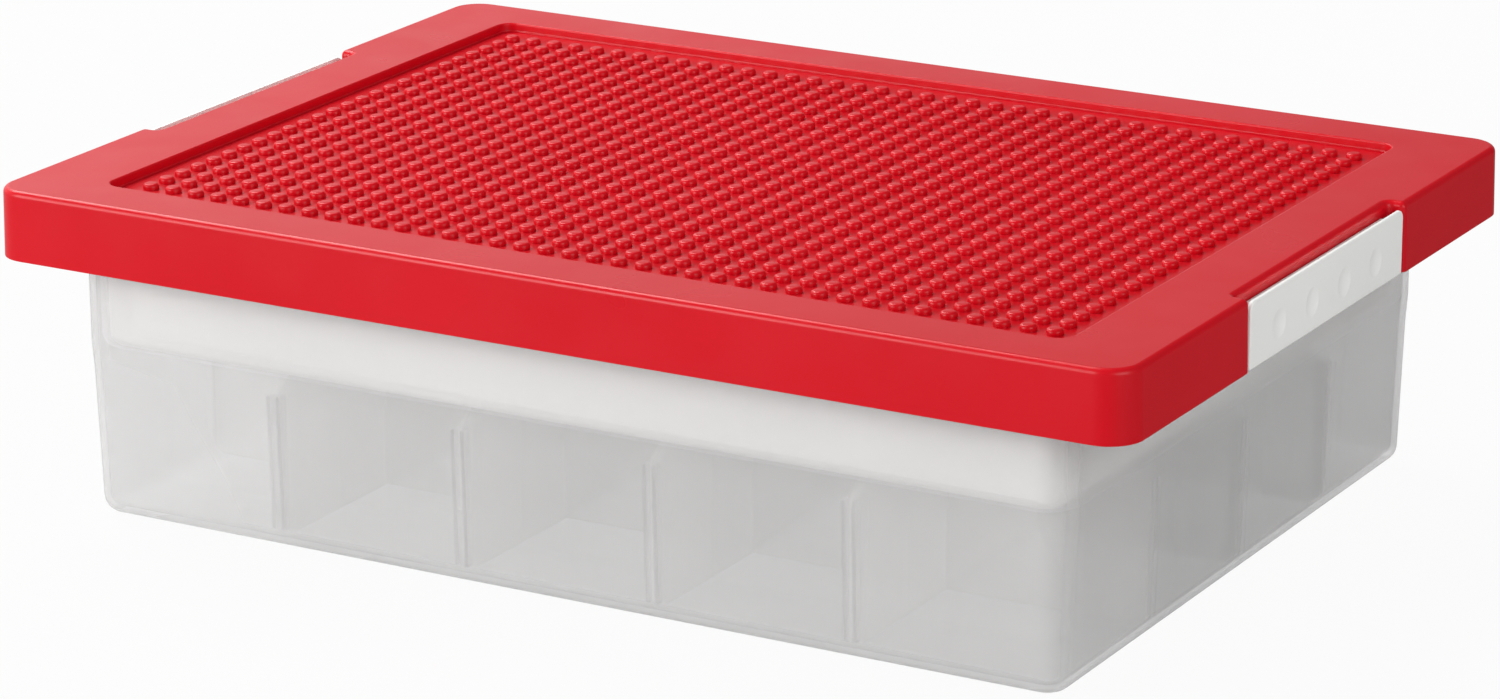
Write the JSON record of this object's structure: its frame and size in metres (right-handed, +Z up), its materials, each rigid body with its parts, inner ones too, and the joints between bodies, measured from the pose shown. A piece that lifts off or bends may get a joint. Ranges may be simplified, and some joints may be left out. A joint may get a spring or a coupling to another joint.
{
  "type": "building block storage box",
  "caption": "Shallow frosted storage box with a studded building-plate lid, latches at its short ends, a lift-out tray and a grid of removable dividers.",
  "frame": {"origin": "middle of the tub's flat underside", "axes": "+X along the box, +Y across it from the pictured long side to the far one, +Z up"},
  "size_m": [0.3688, 0.2614, 0.1],
  "materials": {
    "tub": "frosted see-through polypropylene, satin",
    "divider": "frosted see-through polypropylene, thin",
    "tray": "milky polypropylene, satin",
    "lid": "red polypropylene, satin with soft highlights",
    "latch": "white polypropylene, satin"
  },
  "bodies": {
    "tub": {"tub": "tub"},
    "divider_grid": {"cross_divider_1": "divider", "cross_divider_2": "divider", "cross_divider_3": "divider", "cross_divider_4": "divider", "long_divider_1": "divider", "long_divider_2": "divider", "long_divider_3": "divider"},
    "tray": {"inner_tray": "tray"},
    "lid": {"lid": "lid"},
    "latch_left": {"latch_left": "latch"},
    "latch_right": {"latch_right": "latch"}
  },
  "joints": [
    {"name": "latch_left_hinge", "type": "hinge", "parent": "tub", "child": "latch_left", "pos_m": [-0.176, 0, 0.0814], "axis": [0, -1, 0], "range_deg": [0, 100]},
    {"name": "latch_right_hinge", "type": "hinge", "parent": "tub", "child": "latch_right", "pos_m": [0.176, 0, 0.0814], "axis": [0, 1, 0], "range_deg": [0, 100]},
    {"name": "divider_grid_lift", "type": "slide", "parent": "tub", "child": "divider_grid", "axis": [0, 0, 1], "range_m": [0, 0.105]},
    {"name": "tray_lift", "type": "slide", "parent": "divider_grid", "child": "tray", "axis": [0, 0, 1], "range_m": [0, 0.055]},
    {"name": "lid_lift", "type": "slide", "parent": "tray", "child": "lid", "axis": [0, 0, 1], "range_m": [0, 0.06]}
  ]
}
